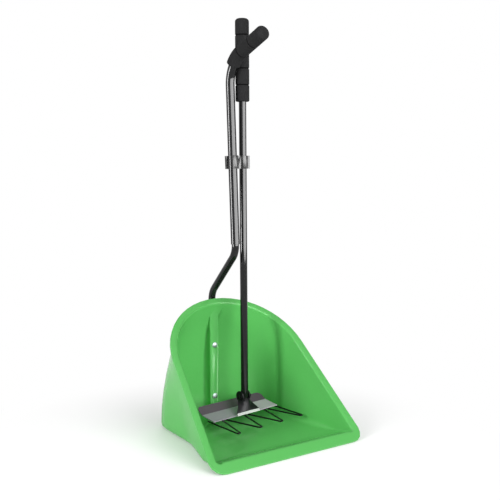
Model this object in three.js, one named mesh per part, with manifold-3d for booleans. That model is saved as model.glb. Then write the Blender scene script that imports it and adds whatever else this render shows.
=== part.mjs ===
// Manure scoop with its rake: a moulded pan on a cranked tube handle, and a rake
// that hangs beside the handle in a double spring clip and stands inside the pan.
// Millimetres, +Z up. Lengths are measured back from the front lip, and the finished part is
// moved forward at the end, so that its origin is a point of the flat base.
import * as THREE from 'three';
import { mergeVertices } from 'three/addons/utils/BufferGeometryUtils.js';
import Module from 'manifold-3d';

const wasm = await Module();
wasm.setup();

// Fits and tolerances
const seatGap = 0.3;
const boltHoleGap = 0.3;
const cutOverrun = 2;
const originBack = 190;

// Pan rim, a flat flange in one sloping plane
const rimSlope = THREE.MathUtils.degToRad(42.1);
const rimLipHeight = 2.5;
const rimHalfWidth = 182.5;
const rimArchRadius = 163.4;
const rimArchDepth = 156.7;
const rimCornerRadius = 28;
const rimFlange = 11;
const rimFrontFlange = 21;
const rimInnerFillet = 5;
const rimEdgeRound = 0.9;
const rimSkirt = 2.6;
const rimSkirtWall = 2.4;

// Pan body. The rim's arch, the rib and the handle keep their places from the back of the base.
const panWall = 3;
const baseFront = 62;
const baseFrontHalf = 162;
const baseFrontCorner = 22;
const baseBack = 325;
const baseBackHalf = 138;
const baseBackCorner = 40;
const baseFlareEnd = 190;
const baseFillet = 12;
const archSetback = 23.9804;
const rimArchCentre = (baseBack - archSetback) / Math.cos(rimSlope) - rimArchDepth;
const wallFoot_share = 0.35;
const wallHead_share = 0.19;
const wallDraft_share = 0.02;

// Channel rib in the pan's back wall, and the groove behind it for the handle
const ribDepth = 22;
const ribFront = baseBack - ribDepth;
const ribCorner = 4;
const ribSideGap = 0.7;

// Handle of the scoop, a cranked lower tube in a straight upper tube
const lowerTubeRadius = 8;
const lowerTubeWall = 1.5;
const lowerTubeEnd = 18;
const lowerTubeInsert = 62;
const crankRimGap = 11.5;
const crankRise = 98.5;
const crankReach = 99.5;
const crankBend = 40;
const handleLean = THREE.MathUtils.degToRad(3.27);
const upperTubeWall = 1.2;
const upperTubeRise = 18.5;
const topCornerHeight = 785.8;
const topBend = 66.4;
const topPitch = THREE.MathUtils.degToRad(19.9);

// Foam grips, sleeves of segments that meet in grooves. The handle's starts within the top bend.
const gripBoreGap = 0.3;
const gripGroove = 1.3;
const gripGrooveWidth = 2.6;
const gripEndRound = 7;
const gripMouthRound = 2.5;
const gripEndWall = 9;
const handleGripRadius = 14.8;
const handleGripMouthReach = 45.2;
const handleGripSegmentLength = 42.3;
const handleGripSegmentCount = 3;
const rakeGripRadius = 14.8;
const rakeGripSegmentLength = 34.5;
const rakeGripSegmentCount = 5;

// Bolts that hold the pan to the handle
const panBoltHeights = [49.6, 167.3];
const panBoltNames = ['lower', 'upper'];
const boltRadius = 3;
const boltHeadRadius = 6.6;
const boltHeadHeight = 3.4;
const washerRadius = 7;
const washerThickness = 1.2;
const nutAcrossCorners = 11.5;
const nutHeight = 5;
const boltEnd = 1.8;
const dome_share = 0.62;

// Screw through the joint of the two handle tubes
const jointScrewRise = 37;
const jointScrewRadius = 2;
const jointScrewHeadRadius = 4;
const jointScrewHeadHeight = 2.2;
const jointScrewLength = 7;

// Plastic plug in the handle's foot
const plugLength = 16;
const plugCap = 2.5;

// Double spring clip on the upper tube
const clipHeight = 577;
const clipLength = 27.6;
const clipSpacing = 28.5;
const clipTurn = THREE.MathUtils.degToRad(7.2);
const clipWall = 2.6;
const clipWebHalf = 5;
const clipMouth = THREE.MathUtils.degToRad(56);
const clipLip = 4.6;

// Rake tube and the height at which the clip holds the rake
const rakeTubeRadius = 8;
const rakeTubeWall = 1.4;
const rakeTop = 877.5;
const rakeLean = THREE.MathUtils.degToRad(0.54);
const rakeHeadHeight = 26.6;

// Rake head, a folded plate with a zigzag wire of tines under its front edge
const plateHalfWidth = 92;
const plateThickness = 2;
const plateFront = 6.4;
const plateCrease = 33.7;
const plateCreaseRise = 4.9;
const plateBack = 54.8;
const plateBackRise = 12.2;
const plateCornerRound = 10;
const tineRadius = 1.9;
const tineReach = 90.3;
const tineRoot = -2;
const tinePitch = 60;
const tineTipHalf = 3.4;
const tineBend = 3.1;
const tineDrop = 0.8;
const tineCount = 4;
const tineTail = 12;

// Pressed steel shoe that joins the rake tube to the plate
const shoeSheet = 3;
const shoeLipHalf = 32;
const shoeLip = 14.8;
const shoeLipRise = 1.8;
const shoeHeel = 5;
const shoeHeelHalf = 22;
const shoeFootBack = 9;
const shoeFootBackHalf = 12;
const shoeSaddle = 30;
const shoeTop = 32.5;
const shoeArmBack = 10;
const shoeArc_share = 0.5;
const foldOverlap_share = 0.15;
const shoeLugRadius = 11.5;
const shoeLugBack = 4;
const shoeBoltRise = 37.4;
const shoeBoltRadius = 2.5;
const shoeBoltHeadRadius = 4.5;
const shoeBoltHeadHeight = 2.6;
const shoeNutAcrossCorners = 9.2;
const shoeNutHeight = 4;
const rivetRadius = 2;
const rivetHeadRadius = 3.8;
const rivetHeadHeight = 1.6;
const rivetOffset = 14;
const rivetForward = 0.8;

// Facet counts
const tubeSides = 16;
const gripSides = 20;
const bendSteps = 6;
const topBendSteps = 10;
const wireSides = 6;
const wireBendSteps = 3;
const boltSides = 16;
const hexSides = 6;
const frontSteps = 3;
const cornerSteps = 4;
const sideSteps = 6;
const archSteps = 12;
const wallSteps = 6;
const filletSteps = 3;
const shoeRows = 5;
const shoeColumns = 12;
const gripRoundSteps = 4;
const jawSteps = 10;

const green = { color: 0x4fb84f, roughness: 0.3, metalness: 0 };
const blackPaint = { color: 0x141416, roughness: 0.25, metalness: 0.1 };
const foam = { color: 0x2b2b2c, roughness: 0.9, metalness: 0 };
const blackPlastic = { color: 0x18181a, roughness: 0.35, metalness: 0 };
const zinc = { color: 0xc4c8cc, roughness: 0.3, metalness: 0.9 };
const greyPlate = { color: 0x5a565a, roughness: 0.35, metalness: 0.6 };

const up = new THREE.Vector3(0, 0, 1);

function mesh(name, geometry, finish) {
  const piece = new THREE.Mesh(geometry, new THREE.MeshStandardMaterial(finish));
  piece.name = name;
  return piece;
}

// Joins the shared vertices of a geometry, drops faces without area and makes it a solid
function solidOf(geometry) {
  const bare = geometry.clone();
  bare.deleteAttribute('normal');
  bare.deleteAttribute('uv');
  const merged = mergeVertices(bare);
  const corners = merged.index.array;
  const faces = [];
  for (let i = 0; i < corners.length; i += 3) {
    const [a, b, c] = [corners[i], corners[i + 1], corners[i + 2]];
    if (a !== b && b !== c && c !== a) faces.push(a, b, c);
  }
  return new wasm.Manifold(new wasm.Mesh({
    numProp: 3,
    vertProperties: new Float32Array(merged.attributes.position.array),
    triVerts: new Uint32Array(faces),
  }));
}

function geometryOf(solid) {
  const result = solid.getMesh();
  const geometry = new THREE.BufferGeometry();
  geometry.setAttribute('position', new THREE.BufferAttribute(new Float32Array(result.vertProperties), 3));
  geometry.setIndex(new THREE.BufferAttribute(new Uint32Array(result.triVerts), 1));
  return geometry;
}

function cut(geometry, tools) {
  let solid = solidOf(geometry);
  for (const tool of tools) solid = solid.subtract(solidOf(tool));
  return geometryOf(solid);
}

function fuse(first, others) {
  let solid = solidOf(first);
  for (const other of others) solid = solid.add(solidOf(other));
  return geometryOf(solid);
}

function polygon(radius, sides, phase = 0) {
  const points = [];
  for (let i = 0; i < sides; i += 1) {
    const angle = phase + (i / sides) * Math.PI * 2;
    points.push(new THREE.Vector2(radius * Math.cos(angle), radius * Math.sin(angle)));
  }
  return points;
}

// A route of straight runs joined by round bends, with one step for each run
class BentRoute extends THREE.Curve {
  constructor(corners, radius, steps) {
    super();
    this.stations = [];
    const runs = corners.slice(1).map((corner, i) => corner.clone().sub(corners[i]).normalize());
    this.stations.push({ at: corners[0], along: runs[0] });
    for (let i = 1; i < runs.length; i += 1) {
      const [inward, outward] = [runs[i - 1], runs[i]];
      const turn = inward.angleTo(outward);
      const side = outward.clone().addScaledVector(inward, -outward.dot(inward)).normalize();
      const centre = corners[i].clone().addScaledVector(inward, -radius * Math.tan(turn / 2));
      centre.addScaledVector(side, radius);
      for (let k = 0; k <= steps; k += 1) {
        const swing = (turn * k) / steps;
        const at = centre.clone().addScaledVector(side, -radius * Math.cos(swing));
        at.addScaledVector(inward, radius * Math.sin(swing));
        const along = inward.clone().multiplyScalar(Math.cos(swing));
        along.addScaledVector(side, Math.sin(swing));
        this.stations.push({ at, along });
      }
    }
    this.stations.push({ at: corners[corners.length - 1], along: runs[runs.length - 1] });
    this.steps = this.stations.length - 1;
    this.distances = [0];
    for (let i = 1; i <= this.steps; i += 1) {
      this.distances.push(this.distances[i - 1] + this.stations[i].at.distanceTo(this.stations[i - 1].at));
    }
  }

  // Place and direction at a distance from the start, along the chords
  stationAt(distance) {
    const next = this.distances.findIndex((d, i) => i > 0 && d >= distance);
    const i = next < 0 ? this.steps : next;
    const [from, to] = [this.stations[i - 1], this.stations[i]];
    const share = (distance - this.distances[i - 1]) / (this.distances[i] - this.distances[i - 1]);
    return {
      at: from.at.clone().lerp(to.at, share),
      along: from.along.clone().lerp(to.along, share).normalize(),
    };
  }

  getPoint(t, target = new THREE.Vector3()) {
    return target.copy(this.stations[Math.round(t * this.steps)].at);
  }

  getPointAt(u, target) {
    return this.getPoint(u, target);
  }

  getTangentAt(u, target = new THREE.Vector3()) {
    return target.copy(this.stations[Math.round(u * this.steps)].along);
  }
}

function rodAlong(route, radius, sides, bore = 0) {
  const section = new THREE.Shape(polygon(radius, sides));
  if (bore > 0) section.holes.push(new THREE.Path(polygon(bore, sides)));
  return new THREE.ExtrudeGeometry(section, { steps: route.steps, extrudePath: route });
}

// A round body along a route in the plane x = 0, from [distance, radius] points that start and end
// on the route. Every bend step between two points gets a ring too.
function turnedAlong(route, profile, sides) {
  const rings = [];
  profile.forEach(([distance, radius], i) => {
    const [before, last] = profile[Math.max(i - 1, 0)];
    for (const step of route.distances.filter((d) => d > before && d < distance)) {
      rings.push([step, THREE.MathUtils.mapLinear(step, before, distance, last, radius)]);
    }
    rings.push([distance, radius]);
  });
  const across = new THREE.Vector3(1, 0, 0);
  const positions = rings.flatMap(([distance, radius]) => {
    const { at, along } = route.stationAt(distance);
    const rise = along.clone().cross(across);
    return polygon(radius, sides).flatMap((point) => at.clone()
      .addScaledVector(across, point.x).addScaledVector(rise, point.y).toArray());
  });
  const faces = [];
  for (let ring = 0; ring < rings.length - 1; ring += 1) {
    for (let j = 0; j < sides; j += 1) {
      const [a, b] = [ring * sides + j, ring * sides + ((j + 1) % sides)];
      faces.push(a, b, b + sides, a, b + sides, a + sides);
    }
  }
  const geometry = new THREE.BufferGeometry();
  geometry.setAttribute('position', new THREE.Float32BufferAttribute(positions, 3));
  geometry.setIndex(faces);
  return geometry;
}

// A solid of revolution about its own +Z axis, from (radius, height) points
function turned(profile, sides) {
  const points = profile.map(([radius, height]) => new THREE.Vector2(radius, height));
  return new THREE.LatheGeometry(points, sides).rotateX(Math.PI / 2);
}

function pin(radius, low, high, sides) {
  return turned([[0, low], [radius, low], [radius, high], [0, high]], sides);
}

function prism(points, low, high) {
  const section = new THREE.Shape(points);
  return new THREE.ExtrudeGeometry(section, { depth: high - low, bevelEnabled: false }).translate(0, 0, low);
}

// Stacks closed loops of points into one body. Both end loops are flat and get caps.
function skin(loops) {
  const count = loops[0].length;
  const positions = loops.flat().flatMap((point) => [point.x, point.y, point.z]);
  const faces = [];
  for (let row = 0; row < loops.length - 1; row += 1) {
    for (let j = 0; j < count; j += 1) {
      const next = (j + 1) % count;
      const [a, b] = [row * count + j, row * count + next];
      const [c, d] = [a + count, b + count];
      faces.push(a, b, d, a, d, c);
    }
  }
  const outline = (loop) => loop.map((point) => new THREE.Vector2(point.x, point.y));
  const top = (loops.length - 1) * count;
  for (const [a, b, c] of THREE.ShapeUtils.triangulateShape(outline(loops[0]), [])) {
    faces.push(a, c, b);
  }
  for (const [a, b, c] of THREE.ShapeUtils.triangulateShape(outline(loops[loops.length - 1]), [])) {
    faces.push(top + a, top + b, top + c);
  }
  const geometry = new THREE.BufferGeometry();
  geometry.setAttribute('position', new THREE.Float32BufferAttribute(positions, 3));
  geometry.setIndex(faces);
  return geometry;
}

// A point of the rim plane: across, up the slope, and some depth below the plane
function rimPoint(across, along, depth = 0) {
  return new THREE.Vector3(
    across,
    along * Math.cos(rimSlope) + depth * Math.sin(rimSlope),
    rimLipHeight + along * Math.sin(rimSlope) - depth * Math.cos(rimSlope),
  );
}

// Half of the rim's outline from the middle of the lip to the top of the arch.
// Each station has its place, the direction inwards, and how much it belongs to the front.
function rimStations() {
  const stations = [];
  const flat = rimHalfWidth - rimCornerRadius;
  for (let i = 0; i <= frontSteps; i += 1) {
    stations.push({ u: (flat * i) / frontSteps, v: 0, nu: 0, nv: 1, front: 1 });
  }
  const squash = rimArchDepth / rimArchRadius;
  const drop = (rimArchCentre - rimCornerRadius) / squash;
  const distance = Math.hypot(rimHalfWidth, drop);
  const tangent = Math.acos(rimArchRadius / distance) - Math.atan2(drop, rimHalfWidth);
  for (let i = 1; i <= cornerSteps; i += 1) {
    const angle = ((Math.PI / 2) * i) / cornerSteps;
    const [nu, nv] = [-Math.sin(angle), Math.cos(angle)];
    const [u, v] = [flat - rimCornerRadius * nu, rimCornerRadius - rimCornerRadius * nv];
    stations.push({ u, v, nu, nv, front: 1 - i / cornerSteps });
  }
  const archStart = {
    u: rimArchRadius * Math.cos(tangent),
    v: rimArchCentre + rimArchDepth * Math.sin(tangent),
  };
  for (let i = 1; i <= sideSteps; i += 1) {
    const share = i / sideSteps;
    const u = rimHalfWidth + (archStart.u - rimHalfWidth) * share;
    const v = rimCornerRadius + (archStart.v - rimCornerRadius) * share;
    stations.push({ u, v, nu: -Math.cos(tangent), nv: -Math.sin(tangent), front: 0 });
  }
  for (let i = 1; i <= archSteps; i += 1) {
    const angle = tangent + ((Math.PI / 2 - tangent) * i) / archSteps;
    const [nu, nv] = [-Math.cos(angle) * squash, -Math.sin(angle)];
    const size = Math.hypot(nu, nv);
    const u = rimArchRadius * Math.cos(angle);
    const v = rimArchCentre + rimArchDepth * Math.sin(angle);
    stations.push({ u, v, nu: nu / size, nv: nv / size, front: 0 });
  }
  return stations;
}

function baseHalfWidth(y) {
  const flare = 1 - THREE.MathUtils.smoothstep(y, baseFront, baseFlareEnd);
  return baseBackHalf + (baseFrontHalf - baseBackHalf) * flare;
}

// Half of the floor's outline, station by station with the rim's
function baseStations() {
  const stations = [];
  const flankStart = baseFront + baseFrontCorner;
  const flat = baseHalfWidth(flankStart) - baseFrontCorner;
  for (let i = 0; i <= frontSteps; i += 1) {
    stations.push({ x: (flat * i) / frontSteps, y: baseFront, nx: 0, ny: 1 });
  }
  for (let i = 1; i <= cornerSteps; i += 1) {
    const angle = ((Math.PI / 2) * i) / cornerSteps;
    const [nx, ny] = [-Math.sin(angle), Math.cos(angle)];
    stations.push({ x: flat - baseFrontCorner * nx, y: flankStart - baseFrontCorner * ny, nx, ny });
  }
  for (let i = 1; i <= sideSteps; i += 1) {
    const y = flankStart + ((baseFlareEnd - flankStart) * i) / sideSteps;
    stations.push({ x: baseHalfWidth(y), y, nx: -1, ny: 0 });
  }
  const flank = baseBack - baseBackCorner - baseFlareEnd;
  const arc = (baseBackCorner * Math.PI) / 2;
  const heel = baseBackHalf - baseBackCorner;
  for (let i = 1; i <= archSteps; i += 1) {
    const walked = ((flank + arc + heel) * i) / archSteps;
    const angle = THREE.MathUtils.clamp((walked - flank) / baseBackCorner, 0, Math.PI / 2);
    const [nx, ny] = [-Math.cos(angle), -Math.sin(angle)];
    const x = heel - baseBackCorner * nx - Math.max(0, walked - flank - arc);
    const y = baseFlareEnd + Math.min(walked, flank) - baseBackCorner * ny;
    stations.push({ x: Math.max(0, x), y, nx, ny });
  }
  return stations;
}

function aroundBothSides(half) {
  const other = half.slice(1, -1).reverse();
  return [...half, ...other.map((point) => new THREE.Vector3(-point.x, point.y, point.z))];
}

// Loops of the pan from the middle of its floor up the inside to the rim, and the outside back down
function panLoops() {
  const rim = rimStations();
  const base = baseStations();
  const flange = rim.map((station) => rimFlange + (rimFrontFlange - rimFlange) * station.front);
  const rimLoop = (inset, depth) => rim.map((station, j) => {
    const inward = inset(flange[j], station.front);
    return rimPoint(station.u + station.nu * inward, station.v + station.nv * inward, depth(station.front));
  });
  const mouth = rimLoop((width) => width + rimInnerFillet, () => rimInnerFillet);
  const foot = base.map((station) => new THREE.Vector3(station.x, station.y, panWall));
  const headWay = new THREE.Vector3(0, Math.sin(rimSlope), -Math.cos(rimSlope));
  const walls = rim.map((station, j) => {
    const height = mouth[j].z - foot[j].z;
    const third = mouth[j].clone().sub(foot[j]).divideScalar(3);
    const outward = new THREE.Vector3(-base[j].nx, -base[j].ny, 0);
    const rise = up.clone().multiplyScalar(height * wallFoot_share);
    rise.addScaledVector(outward, height * wallDraft_share);
    const lead = headWay.clone().multiplyScalar(height * wallHead_share);
    return new THREE.CubicBezierCurve3(
      foot[j],
      foot[j].clone().add(rise.lerp(third, station.front)),
      mouth[j].clone().add(lead.lerp(third.clone().negate(), station.front)),
      mouth[j],
    );
  });
  const floor = base.map((station) => new THREE.Vector3(
    station.x + station.nx * baseFillet,
    station.y + station.ny * baseFillet,
    panWall,
  ));
  floor[0].x = 0;
  const starts = walls.map((wall) => {
    const length = wall.getLength();
    return Math.min(baseFillet / length, 1 / (wallSteps - 1));
  });
  const inner = [floor];
  for (let i = 1; i < filletSteps; i += 1) {
    const share = i / filletSteps;
    inner.push(walls.map((wall, j) => new THREE.QuadraticBezierCurve3(
      floor[j],
      foot[j],
      wall.getPointAt(starts[j]),
    ).getPoint(share)));
  }
  for (let i = 0; i < wallSteps; i += 1) {
    inner.push(walls.map((wall, j) => wall.getPointAt(starts[j] + ((1 - starts[j]) * i) / wallSteps)));
  }
  const halfTurn = Math.SQRT1_2;
  const fillet = (radius) => rimLoop(
    (width) => width + radius * halfTurn,
    () => rimInnerFillet - radius * halfTurn,
  );
  const loops = inner.map(aroundBothSides);
  const outer = offsetLoops(loops, aroundBothSides(mouth));
  const skirt = (front) => panWall + rimSkirt * (1 - front);
  const edge = [
    mouth,
    fillet(rimInnerFillet),
    rimLoop((width) => width, () => 0),
    rimLoop(() => rimEdgeRound, () => 0),
    rimLoop(() => 0, () => rimEdgeRound),
    rimLoop(() => 0, skirt),
    rimLoop(() => rimSkirtWall - rimEdgeRound / 2, skirt),
    rimLoop(() => rimSkirtWall, () => panWall),
    rimLoop((width) => width, () => panWall),
    fillet(rimInnerFillet - panWall),
    rimLoop((width) => width + rimInnerFillet - panWall, () => rimInnerFillet),
  ].map(aroundBothSides);
  return { inner: loops, edge, outer };
}

// The wall's outer face: each inner loop moved outwards by the wall's thickness
function offsetLoops(loops, mouth) {
  const count = mouth.length;
  const stack = [...loops, mouth];
  return loops.map((loop, row) => loop.map((point, j) => {
    if (row === 0) return new THREE.Vector3(point.x, point.y, 0);
    const along = loop[(j + 1) % count].clone().sub(loop[(j + count - 1) % count]);
    const rise = stack[row + 1][j].clone().sub(stack[row - 1][j]);
    return point.clone().addScaledVector(along.cross(rise).normalize(), panWall);
  }));
}

const ribHalfWidth = lowerTubeRadius + ribSideGap + panWall;
const grooveFront = ribFront + panWall;
const handleY = grooveFront + seatGap + lowerTubeRadius;
const archTop = rimPoint(0, rimArchCentre + rimArchDepth);
const crankLowHeight = archTop.z + crankRimGap;
const crankHighHeight = crankLowHeight + crankRise;
const upperTubeStart = crankHighHeight + upperTubeRise;

function channel(halfWidth, front, back, corner, low, high) {
  const section = new THREE.Shape();
  section.moveTo(-halfWidth, back);
  section.lineTo(-halfWidth, front + corner);
  section.absarc(-halfWidth + corner, front + corner, corner, Math.PI, Math.PI * 1.5, false);
  section.absarc(halfWidth - corner, front + corner, corner, Math.PI * 1.5, Math.PI * 2, false);
  section.lineTo(halfWidth, back);
  return new THREE.ExtrudeGeometry(section, { depth: high - low, bevelEnabled: false, curveSegments: 2 })
    .translate(0, 0, low);
}

function panGeometry() {
  const { inner, edge, outer } = panLoops();
  const shell = skin([...outer, ...edge.slice().reverse(), ...inner.slice().reverse()]);
  const lid = edge[edge.length - 1].map((point) => point.clone().add(
    new THREE.Vector3(0, -Math.sin(rimSlope), Math.cos(rimSlope)).multiplyScalar(rimInnerFillet),
  ));
  const envelope = skin([...outer, edge[edge.length - 1], lid]);
  const roof = archTop.z + cutOverrun;
  const back = baseBack + panWall + cutOverrun;
  const block = channel(ribHalfWidth, ribFront, back, ribCorner, 0, roof);
  const grooveHalf = ribHalfWidth - panWall;
  const grooveBack = back + panWall + cutOverrun;
  const grooveCorner = ribCorner - panWall + seatGap;
  const groove = channel(grooveHalf, grooveFront, grooveBack, grooveCorner, panWall, roof);
  const rib = solidOf(block).intersect(solidOf(envelope));
  let pan = solidOf(shell).add(rib).subtract(solidOf(groove));
  for (const height of panBoltHeights) {
    const hole = pin(boltRadius + boltHoleGap, ribFront - cutOverrun, grooveFront + cutOverrun, boltSides)
      .rotateX(-Math.PI / 2).translate(0, 0, height);
    pan = pan.subtract(solidOf(hole));
  }
  return geometryOf(pan);
}

// The handle's route in the plane x = 0, as corners
const crankTopY = handleY - crankReach;
const handleWay = new THREE.Vector3(0, Math.sin(handleLean), Math.cos(handleLean));
const handleAt = (height) => new THREE.Vector3(0, crankTopY, crankHighHeight)
  .addScaledVector(handleWay, (height - crankHighHeight) / handleWay.z);
const gripWay = new THREE.Vector3(0, -Math.cos(topPitch), Math.sin(topPitch));
const topCorner = handleAt(topCornerHeight);
const topTurn = handleWay.angleTo(gripWay);
const topReach = topBend * Math.tan(topTurn / 2);
const upperTubeRadius = lowerTubeRadius + seatGap + upperTubeWall;
const jointScrewHeight = upperTubeStart + jointScrewRise;

// Route of the upper tube and of the foam over its end, as far as the foam's crown
const handleGripLength = handleGripSegmentLength * handleGripSegmentCount;
const straightGrip = handleGripMouthReach + handleGripLength - topBend * topTurn;
const crown = topCorner.clone().addScaledVector(gripWay, topReach + straightGrip);
const gripRoute = new BentRoute([handleAt(upperTubeStart), topCorner, crown], topBend, topBendSteps);

function acrossHole(radius, at, reach) {
  return pin(radius, -reach, reach, boltSides).rotateX(-Math.PI / 2).translate(at.x, at.y, at.z);
}

function lowerTube() {
  const corners = [
    new THREE.Vector3(0, handleY, lowerTubeEnd),
    new THREE.Vector3(0, handleY, crankLowHeight),
    new THREE.Vector3(0, crankTopY, crankHighHeight),
    handleAt(upperTubeStart + lowerTubeInsert),
  ];
  const route = new BentRoute(corners, crankBend, bendSteps);
  const tube = rodAlong(route, lowerTubeRadius, tubeSides, lowerTubeRadius - lowerTubeWall);
  const holes = panBoltHeights.map((height) => acrossHole(
    boltRadius + boltHoleGap,
    new THREE.Vector3(0, handleY, height),
    lowerTubeRadius + cutOverrun,
  ));
  return cut(tube, [...holes, jointScrewHole()]);
}

function jointScrewHole() {
  const reach = upperTubeRadius + cutOverrun;
  return pin(jointScrewRadius + boltHoleGap, 0, reach, boltSides).rotateX(-Math.PI / 2 - handleLean)
    .translate(0, handleAt(jointScrewHeight).y, jointScrewHeight);
}

function upperTube() {
  const end = crown.clone().addScaledVector(gripWay, -gripEndWall - seatGap);
  const route = new BentRoute([handleAt(upperTubeStart), topCorner, end], topBend, topBendSteps);
  const tube = rodAlong(route, upperTubeRadius, tubeSides, upperTubeRadius - upperTubeWall);
  return cut(tube, [jointScrewHole()]);
}

function headedPin(radius, length, headRadius, headHeight, sides) {
  return turned([
    [0, -headHeight],
    [headRadius * dome_share, -headHeight * dome_share],
    [headRadius, (-headHeight * (1 - dome_share)) / 2],
    [headRadius, 0],
    [radius, 0],
    [radius, length],
    [0, length],
  ], sides);
}

function ringPiece(outer, inner, height, sides, phase = 0) {
  const section = new THREE.Shape(polygon(outer, sides, phase));
  section.holes.push(new THREE.Path(polygon(inner, boltSides)));
  return new THREE.ExtrudeGeometry(section, { depth: height, bevelEnabled: false });
}

// A foam sleeve with a closed, rounded crown at the end of its route
function foamGrip(route, radius, bore, segmentLength, segmentCount) {
  const end = route.distances[route.steps];
  const mouth = end - segmentLength * segmentCount;
  const profile = [[mouth, 0], [mouth, radius - gripMouthRound], [mouth + gripMouthRound, radius]];
  for (let i = 1; i < segmentCount; i += 1) {
    const middle = mouth + segmentLength * i;
    profile.push([middle - gripGrooveWidth / 2, radius]);
    profile.push([middle, radius - gripGroove]);
    profile.push([middle + gripGrooveWidth / 2, radius]);
  }
  for (let i = 0; i <= gripRoundSteps; i += 1) {
    const angle = ((Math.PI / 2) * i) / gripRoundSteps;
    const distance = end - gripEndRound + gripEndRound * Math.sin(angle);
    profile.push([distance, radius - gripEndRound + gripEndRound * Math.cos(angle)]);
  }
  profile.push([end, 0]);
  const start = mouth - cutOverrun;
  const hollow = [[start, 0], [start, bore], [end - gripEndWall, bore], [end - gripEndWall, 0]];
  return cut(turnedAlong(route, profile, gripSides), [turnedAlong(route, hollow, gripSides)]);
}

// One spring jaw about its own tube, open towards +X, with lips that lead the tube in
function clipJaw(bore, length) {
  const outer = bore + clipWall;
  const section = new THREE.Shape();
  section.absarc(0, 0, outer, clipMouth, Math.PI * 2 - clipMouth, false);
  const tip = (radius, side) => [
    radius * Math.cos(clipMouth) + clipLip,
    side * (radius * Math.sin(clipMouth) + clipLip / 4),
  ];
  section.lineTo(...tip(outer, -1));
  section.lineTo(...tip(bore + clipWall / 3, -1));
  section.absarc(0, 0, bore, Math.PI * 2 - clipMouth, clipMouth, true);
  section.lineTo(...tip(bore + clipWall / 3, 1));
  section.lineTo(...tip(outer, 1));
  return new THREE.ExtrudeGeometry(section, { depth: length, bevelEnabled: false, curveSegments: jawSteps })
    .translate(0, 0, -length / 2);
}

const clipGroup = new THREE.Group();
const clipAxis = handleAt(clipHeight);

function clipGeometry() {
  const handleJaw = clipJaw(upperTubeRadius + seatGap, clipLength).rotateZ(Math.PI - clipTurn)
    .rotateX(-handleLean).rotateZ(clipTurn);
  const rakeJaw = clipJaw(rakeTubeRadius + seatGap, clipLength).rotateX(-rakeLean)
    .translate(clipSpacing, 0, 0);
  const webStart = upperTubeRadius + seatGap + clipWall / 2;
  const webEnd = clipSpacing - rakeTubeRadius - seatGap - clipWall / 2;
  const web = new THREE.BoxGeometry(webEnd - webStart, clipWebHalf * 2, clipLength)
    .translate((webStart + webEnd) / 2, 0, 0);
  return fuse(handleJaw, [rakeJaw, web]);
}

// The rake stands in its own frame: the tube's axis is x = y = 0 and the tines point to -Y
const plateSlope = plateCreaseRise / (plateFront + plateCrease);
const plateTopAt = (forward) => (plateFront - forward) * plateSlope;

function headPlate() {
  const section = new THREE.Shape([
    new THREE.Vector2(-plateFront, 0),
    new THREE.Vector2(plateCrease, plateCreaseRise),
    new THREE.Vector2(plateBack, plateCreaseRise + plateBackRise),
    new THREE.Vector2(plateBack, plateCreaseRise + plateBackRise - plateThickness),
    new THREE.Vector2(plateCrease, plateCreaseRise - plateThickness),
    new THREE.Vector2(-plateFront, -plateThickness),
  ]);
  const sheet = new THREE.ExtrudeGeometry(section, { depth: plateHalfWidth * 2, bevelEnabled: false })
    .translate(0, 0, -plateHalfWidth);
  sheet.applyMatrix4(new THREE.Matrix4().makeBasis(
    new THREE.Vector3(0, 1, 0),
    new THREE.Vector3(0, 0, 1),
    new THREE.Vector3(1, 0, 0),
  ));
  const outline = new THREE.Shape();
  const [side, low, high, round] = [plateHalfWidth, -plateFront, plateBack, plateCornerRound];
  outline.moveTo(-side, low);
  outline.lineTo(side, low);
  outline.absarc(side - round, high - round, round, 0, Math.PI / 2, false);
  outline.absarc(-side + round, high - round, round, Math.PI / 2, Math.PI, false);
  const rise = plateCreaseRise + plateBackRise;
  const blank = new THREE.ExtrudeGeometry(outline, {
    depth: rise * 3,
    bevelEnabled: false,
    curveSegments: 4,
  }).translate(0, 0, -rise);
  let plate = solidOf(sheet).intersect(solidOf(blank));
  for (const place of rivetPlaces) plate = plate.subtract(solidOf(rivetHole(place)));
  return geometryOf(plate);
}

const rivetPlaces = [[-rivetOffset, -rivetForward], [rivetOffset, -rivetForward]];

function rivetHole([x, y]) {
  const reach = plateThickness + shoeSheet + cutOverrun;
  return pin(rivetRadius + boltHoleGap, -reach, reach, boltSides)
    .rotateX(Math.atan(plateSlope)).translate(x, y, plateTopAt(-y));
}

function tineWire() {
  const rootZ = -plateThickness - seatGap - tineRadius;
  const at = (across, forward) => new THREE.Vector3(
    across,
    -forward,
    rootZ - (tineDrop * (forward - tineRoot)) / (tineReach - tineRoot),
  );
  const reach = tineReach - tineRadius;
  const outermost = (tinePitch * (tineCount - 1)) / 2;
  const corners = [at(-outermost - tineTipHalf / 2, tineRoot - tineTail)];
  for (let i = 0; i < tineCount; i += 1) {
    const tip = tinePitch * i - outermost;
    corners.push(at(tip - tineTipHalf, reach), at(tip + tineTipHalf, reach));
    if (i < tineCount - 1) {
      const root = tip + tinePitch / 2;
      corners.push(at(root - tineTipHalf, tineRoot), at(root + tineTipHalf, tineRoot));
    }
  }
  corners.push(at(outermost + tineTipHalf / 2, tineRoot - tineTail));
  return rodAlong(new BentRoute(corners, tineBend, wireBendSteps), tineRadius, wireSides);
}

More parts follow.
